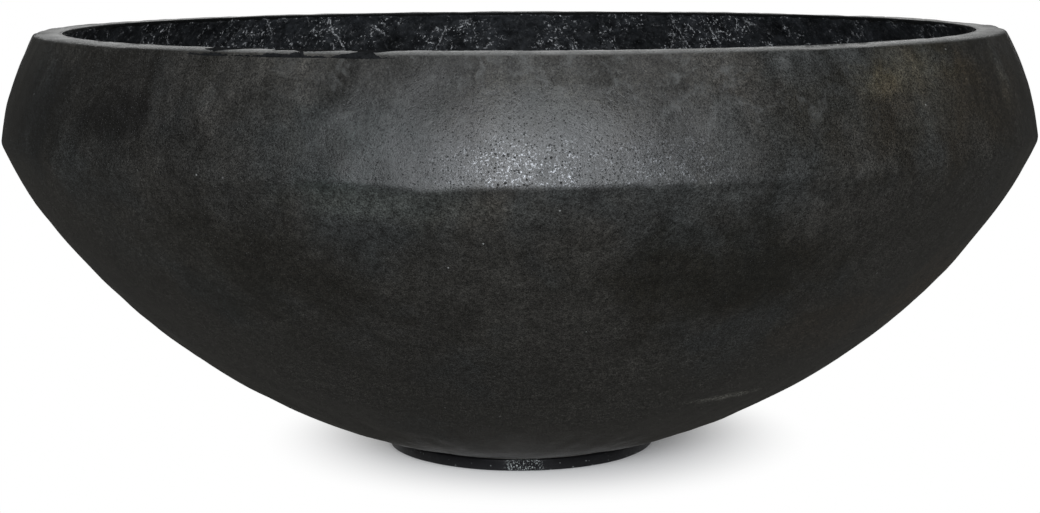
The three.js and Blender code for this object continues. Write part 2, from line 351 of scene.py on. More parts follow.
def lay_out(mesh, line, rows, segments, hidden):
    """A map with the two halves of the shown rows over each other, and the hidden rows in a thin strip."""
    shown = np.ones(rows, bool)
    if hidden is not None:
        shown[hidden] = False
    step = np.linalg.norm(np.roll(line, -1, 0) - line, axis=1)
    top = running_share(np.where(shown, step, 0.0))
    buried = running_share(np.where(shown, 0.0, step))
    half = segments // 2
    strip = 0.04 if hidden is not None else 0.0
    height = (1 - strip) / 2 - 0.01
    u, v = np.zeros((rows, segments, 4)), np.zeros((rows, segments, 4))
    column = np.arange(segments)
    second = column >= half
    left = np.where(second, (column - half) / (segments - half), column / half)
    right = np.where(second, (column - half + 1) / (segments - half), (column + 1) / half)
    for corner, side in enumerate((left, right, right, left)):
        u[:, :, corner] = 0.005 + 0.99 * side[None, :]
    for row in range(rows):
        low, high = (top[row], top[row + 1]) if shown[row] else (buried[row], buried[row + 1])
        for corner, value in enumerate((low, low, high, high)):
            if shown[row]:
                v[row, :, corner] = strip + 0.005 + height * value + np.where(second, height + 0.01, 0)
            else:
                v[row, :, corner] = 0.004 + (strip - 0.008) * value
    layer = mesh.uv_layers.new(name="OFBake")
    flat = np.stack([u, v], -1).reshape(-1, 2)
    layer.uv.foreach_set("vector", flat.astype(np.float32).ravel())


# ---------------------------------------------------------------- node helpers
NOISE_MEAN = 0.5
GREY = (NOISE_MEAN, NOISE_MEAN, NOISE_MEAN)


class Surface:
    """A Principled material whose inputs are built from nodes."""

    def __init__(self, name, specular, roughness=0.5):
        self.material = bpy.data.materials.new(name)
        self.material.use_nodes = True
        self.tree = self.material.node_tree
        self.tree.nodes.clear()
        self.shader = self.new("ShaderNodeBsdfPrincipled")
        self.shader.inputs["Specular IOR Level"].default_value = specular
        self.shader.inputs["Roughness"].default_value = roughness
        out = self.new("ShaderNodeOutputMaterial")
        self.tree.links.new(self.shader.outputs[0], out.inputs[0])
        self.place = self.new("ShaderNodeTexCoord").outputs["Object"]

    def new(self, kind):
        return self.tree.nodes.new(kind)

    def put(self, socket, value):
        if isinstance(value, bpy.types.NodeSocket):
            self.tree.links.new(value, socket)
        elif value is not None:
            socket.default_value = value

    def math(self, operation, a, b=None, c=None, clamp=False):
        node = self.new("ShaderNodeMath")
        node.operation, node.use_clamp = operation, clamp
        for socket, value in zip(node.inputs, (a, b, c)):
            self.put(socket, value)
        return node.outputs[0]

    def add(self, *values):
        total = values[0]
        for value in values[1:]:
            total = self.math("ADD", total, value)
        return total

    def times(self, *values):
        total = values[0]
        for value in values[1:]:
            total = self.math("MULTIPLY", total, value)
        return total

    def scaled(self, value, gain, base):
        """gain times value, plus base."""
        return self.math("MULTIPLY_ADD", value, gain, base)

    def centred(self, value):
        """How far a noise value is above its mean."""
        return self.math("SUBTRACT", value, NOISE_MEAN)

    def about(self, value, gain, base=1.0):
        """base plus gain times how far a noise value is above its mean."""
        return self.scaled(self.centred(value), gain, base)

    def most(self, a, b):
        return self.math("MAXIMUM", a, b)

    def off(self, value, centre):
        """How far value is from centre, on either side."""
        return self.math("ABSOLUTE", self.math("SUBTRACT", value, centre))

    def vector(self, operation, a, b=None, scale=None):
        node = self.new("ShaderNodeVectorMath")
        node.operation = operation
        self.put(node.inputs[0], a)
        if b is not None:
            self.put(node.inputs[1], b)
        if scale is not None:
            self.put(node.inputs["Scale"], scale)
        single = operation in ("DOT_PRODUCT", "LENGTH", "DISTANCE")
        return node.outputs["Value" if single else "Vector"]

    def split(self, vector):
        node = self.new("ShaderNodeSeparateXYZ")
        self.put(node.inputs[0], vector)
        return node.outputs

    def join(self, x, y, z):
        node = self.new("ShaderNodeCombineXYZ")
        for socket, value in zip(node.inputs, (x, y, z)):
            self.put(socket, value)
        return node.outputs[0]

    def noise(self, vector, scale, detail, roughness, colour=False):
        node = self.new("ShaderNodeTexNoise")
        self.put(node.inputs["Vector"], vector)
        node.inputs["Scale"].default_value = scale
        node.inputs["Detail"].default_value = detail
        node.inputs["Roughness"].default_value = roughness
        return node.outputs["Color" if colour else "Fac"]

    def drift(self, *settings):
        """A noise vector about 0, with noise's settings."""
        return self.vector("SUBTRACT", self.noise(*settings, colour=True), GREY)

    def cells(self, vector, scale):
        """The nearest cell point: its distance, its random colour and its offset, all in cell widths."""
        scaled = self.vector("SCALE", vector, scale=scale)
        node = self.new("ShaderNodeTexVoronoi")
        node.inputs["Scale"].default_value = 1.0
        self.put(node.inputs["Vector"], scaled)
        offset = self.vector("SUBTRACT", scaled, node.outputs["Position"])
        return node.outputs["Distance"], node.outputs["Color"], offset

    def range(self, value, low, high, start=0.0, end=1.0):
        node = self.new("ShaderNodeMapRange")
        node.interpolation_type = "SMOOTHSTEP"
        for socket, number in zip(node.inputs, (value, low, high, start, end)):
            self.put(socket, number)
        return node.outputs[0]

    def mix(self, factor, a, b, blend="MIX"):
        node = self.new("ShaderNodeMix")
        node.data_type, node.blend_type = "RGBA", blend
        for socket, value in ((node.inputs["Factor"], factor), (node.inputs[6], a), (node.inputs[7], b)):
            if isinstance(value, tuple) and len(value) == 3:
                value = (*value, 1.0)
            self.put(socket, value)
        return node.outputs[2]

    def shaded(self, colour, tone):
        return self.mix(1.0, colour, self.join(tone, tone, tone), "MULTIPLY")

    def mix_number(self, factor, a, b):
        return self.add(self.times(a, self.math("SUBTRACT", 1.0, factor)), self.times(b, factor))

    def dots(self, vector, scale, share, radius):
        """Round specks: share of the cells hold one, with a radius in cell widths."""
        distance, colour, _ = self.cells(vector, scale)
        picked = self.math("GREATER_THAN", self.split(colour)[0], 1 - share)
        size = self.scaled(self.split(colour)[1], radius * 0.7, radius * 0.5)
        inside = self.range(distance, self.times(size, 0.5), size, 1.0, 0.0)
        return self.times(picked, inside)

    def strokes(self, vector, scale, share, width, length):
        """Short straight marks at random angles, sizes in cell widths."""
        _, colour, offset = self.cells(vector, scale)
        green = self.split(colour)[1]
        way = self.vector("NORMALIZE", self.vector("SUBTRACT", colour, GREY))
        ahead = self.vector("DOT_PRODUCT", offset, way)
        aside = self.vector("LENGTH", self.vector("SUBTRACT", offset, self.vector("SCALE", way, scale=ahead)))
        inside = self.times(
            self.range(aside, width * 0.5, width, 1.0, 0.0),
            self.range(self.math("ABSOLUTE", ahead), length * 0.6, length, 1.0, 0.0),
        )
        picked = self.math("GREATER_THAN", self.math("FRACT", self.times(green, 7.31)), 1 - share)
        return self.times(inside, picked)

    def dashes(self, flat, scale, share, width, length):
        """Short straight marks on a flat map, near level or slanting, sizes in cell widths."""
        scaled = self.vector("SCALE", flat, scale=scale)
        node = self.new("ShaderNodeTexVoronoi")
        node.voronoi_dimensions = "2D"
        node.inputs["Scale"].default_value = 1.0
        self.put(node.inputs["Vector"], scaled)
        dx, dy, _ = self.split(self.vector("SUBTRACT", scaled, node.outputs["Position"]))
        red, green, blue = self.split(node.outputs["Color"])
        angle = self.scaled(red, 2.0, -1.0)
        cosine, sine = self.math("COSINE", angle), self.math("SINE", angle)
        ahead = self.add(self.times(dx, cosine), self.times(dy, sine))
        aside = self.math("SUBTRACT", self.times(dy, cosine), self.times(dx, sine))
        reach = self.scaled(blue, length * 0.75, length * 0.4)
        inside = self.times(
            self.range(self.math("ABSOLUTE", aside), width * 0.5, width, 1.0, 0.0),
            self.range(self.math("DIVIDE", self.math("ABSOLUTE", ahead), reach), 0.6, 1.0, 1.0, 0.0),
        )
        return self.times(inside, self.math("GREATER_THAN", green, 1 - share))

    def bump(self, height):
        """height is in metres."""
        node = self.new("ShaderNodeBump")
        node.inputs["Strength"].default_value = 1.0
        node.inputs["Distance"].default_value = 1.0
        self.put(node.inputs["Height"], height)
        self.tree.links.new(node.outputs[0], self.shader.inputs["Normal"])

    def colour(self, value):
        self.put(self.shader.inputs["Base Color"], value)

    def rough(self, value):
        self.put(self.shader.inputs["Roughness"], value)

    def around(self, vertical):
        """Coordinates that run round the axis and up it, stretched upwards, without a seam."""
        x, y, z = self.split(self.place)
        flat = self.vector("NORMALIZE", self.join(x, y, 0.0))
        fx, fy, _ = self.split(self.vector("SCALE", flat, scale=0.6))
        return self.join(fx, fy, self.times(z, vertical))

    def azimuth(self):
        """Degrees round from the front, to the right."""
        x, y, _ = self.split(self.place)
        return self.times(self.math("ARCTAN2", x, self.times(y, -1.0)), 180 / math.pi)

    def radius(self):
        x, y, _ = self.split(self.place)
        return self.vector("LENGTH", self.join(x, y, 0.0))

    def height(self):
        return self.split(self.place)[2]


# ---------------------------------------------------------------- materials
# Stains and pale places of the casting, and patches of painted sheen by the band's highlight: azimuth and
# height of the centre, half-sizes in degrees and metres, tint. Degrees run from the front to the right.
STAINS_AND_SHEEN = (
    ((-42.0, 0.439), (6.5, 0.024), (0.50, 0.50, 0.53)),  # a dark stain at the left
    ((-40.0, 0.450), (24.0, 0.080), (0.78, 0.79, 0.81)),  # the left of the band is darker
    ((-15.0, 0.430), (11.0, 0.045), (1.18, 1.27, 1.28)),  # a blue-green bloom, partly painted sheen at the highlight's left
    ((2.0, 0.462), (9.0, 0.045), (1.30, 1.34, 1.32)),  # a pale place under the rim: painted sheen above the highlight
    ((42.5, 0.482), (10.0, 0.027), (1.60, 1.48, 1.25)),  # an olive stain at the right
    ((37.0, 0.470), (3.2, 0.016), (1.80, 1.80, 1.75)),  # a grey smear beside it
    ((46.0, 0.450), (24.0, 0.070), (1.15, 1.02, 0.86)),  # the right of the band is warmer
    ((41.0, 0.208), (13.0, 0.040), (1.30, 1.12, 0.98)),  # a warm place low down
    ((64.0, 0.235), (12.0, 0.050), (1.90, 1.50, 1.15)),  # a rusty place low down, at the right
    ((35.0, 0.1225), (8.0, 0.0055), (4.20, 4.30, 4.20)),  # a pale scrape near the foot
    ((60.5, 0.466), (2.4, 0.034), (2.10, 2.10, 2.00)),  # a pale run at the right-hand end
    ((-14.0, 0.372), (10.0, 0.030), (1.06, 1.14, 1.13)),  # the bloom, with its painted sheen, goes on under the crease
    ((-10.0, 0.366), (12.0, 0.022), (2.00, 1.92, 1.82)),  # the sheen ends softly under the crease
    ((22.0, 0.290), (15.0, 0.065), (0.50, 0.47, 0.38)),  # dark clouds below the crease
    ((-28.0, 0.290), (15.0, 0.070), (0.66, 0.65, 0.60)),
    ((-58.0, 0.440), (10.0, 0.060), (0.60, 0.62, 0.64)),  # the left-hand end is darker
)
# Chips of white sand: azimuth, height and radius.
SAND = (
    (-30.5, 0.3901, 0.6092),
    (-24.3, 0.2808, 0.5493),
    (-3.4, 0.3306, 0.5824),
    (3.5, 0.3638, 0.6007),
    (-6.9, 0.3050, 0.5666),
    (-11.6, 0.1280, 0.3929),
    (-3.3, 0.1169, 0.3763),
)
# Where the brushed coat laps over the rim, slivers of it are left clear: azimuth, and the sliver's
# inner and outer edges as the front camera sees them, where 0 is the flat's inner edge, 1.5 its outer
# one and 4.5 is below its easing.
SLIVERS = (
    (-34.6, -0.9, 4.9),
    (-33.4, -0.1, 4.7),
    (-32.3, 2.6, 4.3),
    (-31.0, 3.6, 4.2),
    (-30.1, 2.6, 4.4),
    (-29.2, 0.5, 4.7),
    (-26.4, -0.6, 4.9),
    (-24.6, 1.2, 3.8),
    (-22.5, 0.9, 4.0),
    (-21.2, 2.0, 2.2),
    (-20.7, 2.7, 4.4),
    (-18.1, 0.6, 4.7),
    (-16.5, 0.8, 3.7),
    (-15.3, 1.7, 1.7),
    (-14.0, 2.7, 2.7),
    (-13.4, 2.2, 4.5),
    (-12.8, 0.1, 4.8),
    (-11.6, -0.9, 4.9),
)
RIM_INSIDE, RIM_WIDTH = 0.5385, 0.0285


def stain_and_sheen(s, colour, azimuth, height, ragged, centre, size, tint):
    aside = s.scaled(azimuth, 1 / size[0], -centre[0] / size[0])
    up = s.scaled(height, 1 / size[1], -centre[1] / size[1])
    away = s.math("SQRT", s.add(s.times(aside, aside), s.times(up, up)))
    away = s.scaled(ragged, 2.2, away)
    return s.mix(s.range(away, 0.25, 1.25, 1.0, 0.0), colour, s.mix(1.0, colour, tint, "MULTIPLY"))


def concrete():
    s = Surface("concrete", 0.5)
    place = s.place
    wander = s.vector("SCALE", s.drift(place, 9, 3, 0.5), scale=0.10)
    bent = s.vector("ADD", place, wander)
    height, radius, azimuth = s.height(), s.radius(), s.azimuth()

    clouds = s.noise(bent, 4.5, 4, 0.55)
    patches = s.noise(bent, 15, 5, 0.6)
    mottle = s.noise(place, 55, 4, 0.65)
    freckles = s.noise(place, 190, 3, 0.65)
    grain = s.noise(place, 620, 3, 0.8)
    around = s.vector("ADD", s.around(0.16), s.vector("SCALE", wander, scale=0.25))
    streaks = s.noise(around, 22, 5, 0.6)
    fine_streaks = s.noise(s.around(0.10), 75, 3, 0.55)
    under_rim = s.range(height, 0.40, 0.505)
    low_down = s.range(height, 0.06, 0.26, 1.0, 0.0)
    band = s.range(height, 0.384, 0.394)
    away = s.range(s.math("ABSOLUTE", azimuth), 38.0, 70.0)  # the sides and the back are grainier
    below_crease = s.range(height, 0.30, 0.385, 1.0, 0.0)  # the clouds are calmer there
    freckle_gain = s.add(s.times(low_down, 2.0), s.times(band, -0.7), s.times(away, 1.8), 2.4)
    grain_gain = s.add(s.times(low_down, 10.0), s.times(band, 1.4), s.times(away, 5.0), 6.2)
    tone = s.times(
        s.about(clouds, s.scaled(below_crease, -0.9, 1.7)),
        s.about(patches, s.scaled(below_crease, -0.9, 1.9)),
        s.about(mottle, s.add(s.times(band, -0.4), s.times(below_crease, -0.35), 1.55)),
        s.most(s.about(freckles, freckle_gain), 0.2),
        s.most(s.about(grain, grain_gain), 0.05),
        s.about(streaks, s.scaled(under_rim, 1.9, 0.25)),
        s.about(fine_streaks, s.times(under_rim, 1.1)),
    )
    tint = s.noise(bent, 6.5, 3, 0.6)
    tint = s.scaled(below_crease, 0.11, tint)
    colour = s.mix(s.range(tint, 0.38, 0.62), (0.0136, 0.0146, 0.0142), (0.0156, 0.0148, 0.0129))
    tone = s.most(tone, 0.12)
    colour = s.shaded(colour, tone)

    ragged = s.centred(patches)
    # Stains, and patches of painted sheen by the highlight.
    for centre, size, tint_colour in STAINS_AND_SHEEN:
        colour = stain_and_sheen(s, colour, azimuth, height, ragged, centre, size, tint_colour)

    # The rim is paler, partly its trowelled face and partly painted highlight; the pale line along its inner
    # edge is painted highlight.
    on_rim = s.range(height, 0.5045, 0.5072)
    across = s.scaled(radius, 1 / RIM_WIDTH, -RIM_INSIDE / RIM_WIDTH)
    ragged_rim = s.centred(s.noise(place, 75, 4, 0.65))
    rim_tone = s.most(s.about(s.noise(place, 420, 3, 0.7), 2.6), 0.2)
    outer_part = s.range(s.scaled(ragged_rim, 0.8, across), 0.05, 0.75)
    rim_colour_and_glint_line = s.mix(outer_part, (0.20, 0.204, 0.20), (0.090, 0.092, 0.090))
    rim_colour_and_glint_line = s.shaded(rim_colour_and_glint_line, rim_tone)
    colour = s.mix(s.times(on_rim, 0.85), colour, rim_colour_and_glint_line)
    # The coat frays at the rim's inner edge.
    frayed = s.range(s.scaled(ragged_rim, -0.5, across), 0.06, 0.12, 1.0, 0.0)
    lapped = s.times(frayed, s.range(height, 0.50, 0.504))

    # Painted sparkle of pale grains where the band's highlight falls; the pits crowd there too.
    painted_glint_zone = s.times(
        s.most(
            s.range(s.off(azimuth, 0.4), 2.0, 9.0, 1.0, 0.0),
            s.range(s.off(azimuth, 5.0), 6.0, 18.0, 0.35, 0.0),
        ),
        s.range(height, 0.384, 0.392),
        s.range(height, 0.405, 0.445, 1.0, 0.05),
    )
    clumps = s.range(s.noise(place, 90, 3, 0.6), 0.42, 0.60, 0.35, 1.25)
    painted_sparkle = s.times(s.range(s.noise(place, 520, 3, 0.75), 0.52, 0.68), painted_glint_zone, clumps)
    colour = s.mix(s.math("MULTIPLY", painted_sparkle, 0.85, clamp=True), colour, (0.50, 0.52, 0.55))
    # Pale clouds on the band's upper half, near the front: partly lime bloom, partly painted sheen within the
    # highlight.
    bloom_and_sheen = s.times(
        s.range(s.noise(bent, 42, 6, 0.75), 0.50, 0.68),
        s.range(height, 0.415, 0.455),
        s.range(s.off(azimuth, 6.0), 14.0, 40.0, 1.0, 0.15),
    )
    colour = s.mix(s.times(bloom_and_sheen, 0.5), colour, (0.070, 0.073, 0.071))
    pits_with_painted_shade = s.times(s.dots(place, 230, 0.65, 0.27), s.scaled(painted_glint_zone, 0.9, 0.1))
    small_pits = s.dots(place, 430, 0.55, 0.32)
    specks = s.most(s.dots(place, 30, 0.05, 0.026), s.dots(place, 62, 0.035, 0.075))
    chalk = s.strokes(place, 16, 0.08, 0.03, 0.16)
    # The pits are painted dark: painted shade in the recesses.
    colour = s.mix(s.times(pits_with_painted_shade, 0.7), colour, (0.003, 0.003, 0.003))
    colour = s.mix(s.times(specks, 0.6), colour, (0.26, 0.27, 0.26))
    colour = s.mix(s.times(chalk, 0.25), colour, (0.16, 0.165, 0.165))
    for turn, up, out_by in SAND:
        angle = math.radians(turn)
        spot = (out_by * math.sin(angle), -out_by * math.cos(angle), up)
        near = s.range(s.vector("DISTANCE", place, spot), 0.0003, 0.0013, 1.0, 0.0)
        colour = s.mix(near, colour, (0.20, 0.205, 0.20))
    # The mould's parting line has left chips on the crease, at the left: the dark ones are painted shade in
    # their dents, the pale ones the casting's own colour.
    on_line = s.range(s.off(height, 0.3893), 0.0008, 0.0022, 1.0, 0.0)
    on_line = s.times(on_line, s.range(azimuth, -44.0, -38.0), s.range(azimuth, -26.0, -20.0, 1.0, 0.0))
    chips_with_painted_light = s.times(s.dots(place, 210, 0.5, 0.45), on_line)
    light_chips = s.times(s.dots(place, 160, 0.2, 0.3), on_line)
    colour = s.mix(s.times(chips_with_painted_light, 0.8), colour, (0.003, 0.003, 0.003))
    colour = s.mix(s.times(light_chips, 0.6), colour, (0.14, 0.14, 0.14))
    colour = s.mix(lapped, colour, (0.006, 0.0065, 0.0065))
    s.colour(colour)

    rough = s.add(
        s.about(patches, 0.32, 0.44),
        s.about(mottle, 0.22, 0.0),
        s.about(freckles, 0.16, 0.0),
        s.about(grain, 0.22, 0.0),
        s.times(on_rim, 0.12),
        s.times(s.most(pits_with_painted_shade, small_pits), 0.45),
        s.about(streaks, s.times(under_rim, 0.7), 0.0),
        s.times(bloom_and_sheen, 0.10),
        s.times(under_rim, -0.04),
    )
    rough = s.scaled(lapped, -0.1, rough)
    s.rough(s.math("MINIMUM", s.most(rough, 0.3), 0.85))
    s.bump(
        s.add(
            s.times(grain, 0.0003),
            s.times(freckles, 0.0003),
            s.times(mottle, 0.0004),
            s.times(patches, 0.0007),
            s.times(pits_with_painted_shade, -0.0009),
            s.times(small_pits, -0.0004),
            s.times(chips_with_painted_light, -0.0006),
        )
    )
    return s.material


def black_coat():
    s = Surface("black_coat", 0.4)
    place = s.place
    daubs = s.noise(place, 38, 5, 0.65)
    fine = s.noise(place, 190, 4, 0.7)
    clouds = s.noise(place, 9, 3, 0.6)
    # Flat coordinates on the wall, with their seam at the front.
    x, y, z = s.split(place)
    wall = s.join(s.times(s.math("ARCTAN2", x, y), 0.56), s.add(z, s.radius()), 0.0)
    shake = s.drift(place, 150, 3, 0.6)
    wall = s.vector("ADD", wall, s.vector("SCALE", shake, scale=0.0075))
    # The painted glints crowd at the left, and a little at the right.
    at_ends = s.most(s.range(x, -0.36, -0.20, 1.0, 0.0), s.range(x, 0.28, 0.40, 0.0, 0.3))
    crowd = s.range(s.scaled(at_ends, 0.04, s.noise(place, 13, 4, 0.65)), 0.47, 0.59)
    tone = s.times(s.about(daubs, 3.4), s.about(clouds, 2.6), s.about(fine, 3.2))
    tone = s.most(tone, 0.2)
    colour = s.shaded((0.0128, 0.0141, 0.0158), tone)
    # A pale veil where the glints crowd: painted sheen of the glossy coat.
    painted_sheen_veil = s.times(s.scaled(crowd, 0.75, 0.25), s.range(s.noise(place, 85, 5, 0.7), 0.46, 0.64))
    painted_sheen_veil = s.times(painted_sheen_veil, s.range(x, 0.05, 0.40, 1.0, 0.55))
    colour = s.mix(s.times(painted_sheen_veil, 0.65), colour, (0.060, 0.064, 0.069))
    short = s.dashes(wall, 120, 0.42, 0.075, 0.26)
    long_marks = s.dashes(wall, 50, 0.60, 0.036, 0.40)
    glint_sweeps = s.dashes(wall, 17, 0.70, 0.017, 0.46)
    flecks = s.dots(place, 210, 0.30, 0.30)
    broken = s.range(s.noise(place, 330, 4, 0.75), 0.42, 0.60)
    short = s.times(short, s.add(s.times(broken, 0.7), 0.2))
    glints_and_marks = s.most(short, s.times(long_marks, broken, 0.9))
    glints_and_marks = s.most(glints_and_marks, s.times(glint_sweeps, broken, 0.7))
    # The flat coordinates shrink towards the axis, so the floor has marks of its own.
    on_floor = s.range(s.radius(), 0.26, 0.42, 1.0, 0.0)
    large, small = s.strokes(place, 48, 0.5, 0.045, 0.42), s.strokes(place, 105, 0.4, 0.07, 0.40)
    floor_marks = s.most(large, small)
    glints_and_marks = s.mix_number(on_floor, glints_and_marks, s.times(floor_marks, broken, 0.9))
    glints_and_marks = s.most(glints_and_marks, s.times(flecks, broken, 0.9))
    glint_blotches = s.range(s.noise(place, 175, 5, 0.8), 0.585, 0.635)
    large_glint_blotches = s.range(s.noise(place, 92, 5, 0.75), 0.61, 0.645)
    glints_and_marks = s.most(glints_and_marks, s.most(s.times(glint_blotches, 0.85), s.times(large_glint_blotches, broken)))
    glints_and_marks = s.times(glints_and_marks, s.scaled(crowd, 0.94, 0.06), s.range(x, -0.12, 0.08, 1.0, 0.75))
    chips_with_painted_light = s.times(s.range(s.height(), 0.5010, 0.5030), s.dots(place, 270, 0.5, 0.4))
    glints_and_marks = s.most(glints_and_marks, s.times(chips_with_painted_light, 0.25))
    # The white marks, the flecks at the top edge among them, are painted glints of the rough, glossy coat.
    colour = s.mix(glints_and_marks, colour, (0.84, 0.86, 0.88))
    s.colour(colour)
    s.rough(s.about(daubs, 0.4, 0.4))
    s.bump(s.add(s.times(daubs, 0.0022), s.times(fine, 0.0006), s.times(glints_and_marks, 0.0005)))
    return s.material


def coated_foot():
    s = Surface("coated_foot", 0.2)
    place = s.place
    daubs = s.noise(place, 30, 4, 0.6)
    fine = s.noise(place, 210, 3, 0.6)
    tone = s.times(s.about(daubs, 1.3), s.about(fine, 0.6))
    colour = s.shaded((0.0066, 0.0066, 0.0076), tone)
    scuffs = s.times(s.dots(place, 260, 0.25, 0.25), 0.3)
    # Painted glints at the front, over small dents.
    near = s.range(s.off(s.azimuth(), 1.5), 4.0, 9.5, 1.0, 0.0)
    near = s.times(near, s.range(s.radius(), FOOT_RADIUS - 0.012, FOOT_RADIUS - 0.005))
    chips_with_painted_light = s.times(s.range(s.noise(place, 480, 3, 0.7), 0.555, 0.60), near)
    glints_and_marks = s.most(scuffs, s.times(chips_with_painted_light, 0.9))
    colour = s.mix(glints_and_marks, colour, (0.62, 0.66, 0.65))
    s.colour(colour)
    s.rough(s.about(daubs, 0.35, 0.36))
    s.bump(s.add(s.times(daubs, 0.0009), s.times(fine, 0.0003), s.times(chips_with_painted_light, -0.0004)))
    return s.material


def mortar():
    s = Surface("mortar", 0.35)
    grit = s.noise(s.place, 500, 4, 0.7)
    lumps = s.noise(s.place, 60, 3, 0.6)
    tone = s.times(s.about(grit, 0.9), s.about(lumps, 0.8))
    s.colour(s.shaded((0.16, 0.155, 0.145), tone))
    s.rough(s.about(grit, 0.2, 0.88))
    s.bump(s.add(s.times(grit, 0.0006), s.times(lumps, 0.001)))
    return s.material


def sleeve_plastic():
    s = Surface("sleeve_plastic", 0.5)
    grain = s.noise(s.place, 900, 2, 0.6)
    scuff = s.noise(s.place, 70, 4, 0.65)
    dust = s.range(s.noise(s.place, 180, 4, 0.7), 0.55, 0.75)
    colour = s.mix(s.range(scuff, 0.4, 0.65), (0.028, 0.029, 0.031), (0.040, 0.041, 0.043))
    s.colour(s.mix(s.times(dust, 0.3), colour, (0.11, 0.105, 0.095)))
    s.rough(s.about(scuff, 0.5, 0.46))
    s.bump(s.add(s.times(grain, 0.00008), s.times(scuff, 0.0001)))
    return s.material


def rubber(name, base, dusty):
    s = Surface(name, 0.4)
    grain = s.noise(s.place, 1400, 3, 0.65)
    wear = s.noise(s.place, 90, 4, 0.6)
    dust = s.range(s.noise(s.place, 260, 5, 0.7), 0.5, 0.78)
    colour = s.mix(s.range(wear, 0.35, 0.65), base, tuple(1.5 * c for c in base))
    s.colour(s.mix(s.times(dust, dusty), colour, (0.09, 0.085, 0.078)))
    s.rough(s.about(wear, 0.4, 0.68))
    s.bump(s.add(s.times(grain, 0.00005), s.times(wear, 0.00012)))
    return s.material


CONCRETE = concrete()
COAT = black_coat()
FOOT = coated_foot()
MORTAR = mortar()
SLEEVE = sleeve_plastic()
STOPPER = rubber("stopper_rubber", (0.014, 0.014, 0.0145), 0.3)
PAD = rubber("pad_rubber", (0.010, 0.010, 0.010), 0.2)


# ---------------------------------------------------------------- the bowl
SEGMENTS = 744


def bowl_shell():
    outside = outer_outline()
    inside = inner_outline(6, 7, 0.0)
    rim_flat = np.linspace(outside[-1], inside[0], 8)[1:-1]
    hole, rebate, groove = SLEEVE_RADIUS + SEAT_GAP, FLANGE_RADIUS + SEAT_GAP, RIB_RADIUS + SEAT_GAP
    rebate_floor = FLOOR_TOP - FLANGE_THICKNESS - SEAT_GAP
    rib = RIB_HALF_HEIGHT + SEAT_GAP
    under = [(hole, SPIGOT_BOTTOM), (SPIGOT_RADIUS - SPIGOT_CHAMFER, SPIGOT_BOTTOM)]
    under += [(SPIGOT_RADIUS, SPIGOT_BOTTOM + SPIGOT_CHAMFER), (SPIGOT_RADIUS, SEAT_HEIGHT)]
    core = [(rebate, FLOOR_TOP), (rebate, rebate_floor), (hole, rebate_floor), (hole, RIB_MIDDLE + rib)]
    core += [(groove, RIB_MIDDLE + rib), (groove, RIB_MIDDLE - rib), (hole, RIB_MIDDLE - rib)]
    line = np.concatenate([np.array(under), outside, rim_flat, inside, np.array(core)])
    first = len(under)
    last = first + len(outside) + len(rim_flat)
    along = length_along(line)[:, None]
    normal = -left_of(headings_of(line))
    rows = np.arange(len(line))[:, None]
    keel = along[first + int(np.argmax(outside[:, 0]))]
    to_keel = along - keel
    shown = (rows >= first) & (rows < last)
    away = np.clip((along - along[first]) / 0.05, 0, 1)
    flat = (rows >= first + len(outside) - 4) & (rows < last + 3)
    by_rim = (rows >= first + len(outside) - 12) & (rows < last + 8)
    edge = np.exp(-(((along - along[first + len(outside) - 4]) / 0.006) ** 2))

    set_back = float(outside[:, 0].max()) - (KEEL_RADIUS - 0.0003)
    first_lap, last_lap = SLIVERS[0][0], SLIVERS[-1][0]

    def change(turn):
        azimuth = (np.degrees(turn) + 270) % 360 - 180
        near_keel = np.exp(-((to_keel / 0.05) ** 2))
        depth = waves(turn, along, (0.0006, 11, 0.16, 0.5), (0.0003, 12, 0.04, 0.12))
        depth = np.clip(depth - 0.0002, -0.003, 0.0007 * (1 - near_keel)) * shown * away
        depth = depth - edge * shown * nicks(13, turn, 60, (0.002, 0.009), 0.0014)
        depth = depth - set_back * near_keel * shown
        under_laps = np.clip((azimuth - first_lap + 1) / 2, 0, 1)
        under_laps = under_laps * np.clip((last_lap + 1 - azimuth) / 2, 0, 1)
        depth = np.where(by_rim, np.minimum(depth, -0.0003 * under_laps), depth)
        outward, upward = depth * normal[:, :1], depth * normal[:, 1:]
        wobble = waves(turn, 0 * along, (0.0006, 14, 0.1, 0.5), (0.00025, 15, 0.02, 0.08))
        for place, width, rise in CREASE_WAVES:
            wobble = wobble + rise * np.exp(-(((azimuth - place) / width) ** 2))
        upward = upward + wobble * np.exp(-((to_keel / 0.03) ** 2)) * shown
        trowel = -0.00025 + 0.0002 * ripples(16, turn, 0 * along, 0.03, 0.3)
        upward = upward + np.where(flat, np.clip(trowel, -0.0015, 0), 0)
        return outward, upward

    hidden = np.concatenate([np.arange(0, first), np.arange(last + 8, len(line))])
    return lathe("bowl_concrete", line, SEGMENTS, CONCRETE, change, hidden=hidden)


link(bowl_shell(), "planter", "concrete", "bowl_shell")


